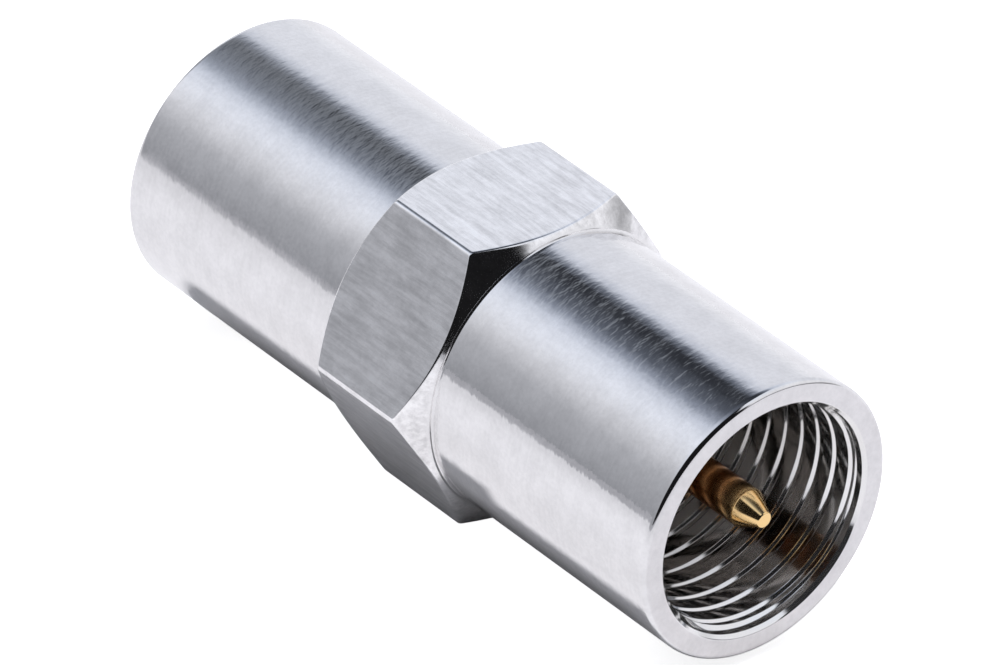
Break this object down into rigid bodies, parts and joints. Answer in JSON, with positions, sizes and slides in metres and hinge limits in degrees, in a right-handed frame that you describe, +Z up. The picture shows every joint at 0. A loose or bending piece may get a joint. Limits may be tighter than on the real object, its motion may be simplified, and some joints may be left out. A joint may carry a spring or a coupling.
{
  "type": "coaxial connector adapter",
  "caption": "Straight plug-to-plug coaxial adapter: bright plated turned body with a central hexagon, an internally threaded socket and a gold centre pin at each end.",
  "frame": {"origin": "under the middle of the adapter, on the surface that its lower hexagon flat rests on", "axes": "+X along the adapter's axis, towards the end that the picture shows; +Z up, square to the hexagon flat it rests on"},
  "size_m": [0.0252, 0.0114, 0.01],
  "materials": {
    "nickel_plate": "bright nickel plate on turned and milled brass",
    "gold_plate": "polished gold plate",
    "white_insulator": "plain white machined plastic"
  },
  "bodies": {
    "root": {"body": "nickel_plate", "centre_contact": "gold_plate", "insulator_front": "white_insulator", "insulator_back": "white_insulator"}
  },
  "joints": []
}
